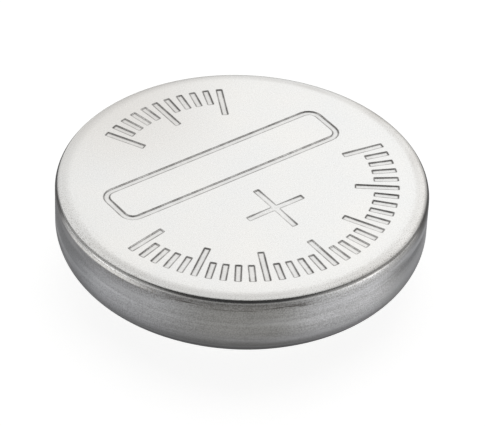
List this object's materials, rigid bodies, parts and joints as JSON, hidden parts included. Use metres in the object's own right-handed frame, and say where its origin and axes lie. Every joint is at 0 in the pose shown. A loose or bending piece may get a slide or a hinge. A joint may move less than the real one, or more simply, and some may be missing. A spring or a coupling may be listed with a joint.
{
  "type": "button cell battery",
  "caption": "Low round button cell: a drawn metal can with a stamped positive face, its rim curled over a plastic gasket that holds the raised negative cap.",
  "frame": {"origin": "centre of the negative face, which is the lowest face of the part", "axes": "+Z along the cell's axis, towards the positive face; the marks are turned 37 degrees from +X towards +Y"},
  "size_m": [0.0116, 0.0116, 0.003],
  "materials": {
    "can_nickel": "satin nickel plate on deep-drawn steel",
    "cap_nickel": "satin nickel outer layer of a pressed cap, copper inside",
    "gasket_nylon": "moulded natural nylon",
    "ring_steel": "pressed nickel-plated steel",
    "silver_oxide": null,
    "membrane_film": "clear ion-permeable film",
    "pad_fleece": "non-woven fleece",
    "zinc_gel": null
  },
  "bodies": {
    "root": {"positive_can": "can_nickel", "negative_cap": "cap_nickel", "sealing_gasket": "gasket_nylon", "support_ring": "ring_steel", "cathode_pellet": "silver_oxide", "barrier_membrane": "membrane_film", "absorbent_pad": "pad_fleece", "zinc_anode": "zinc_gel"}
  },
  "joints": []
}
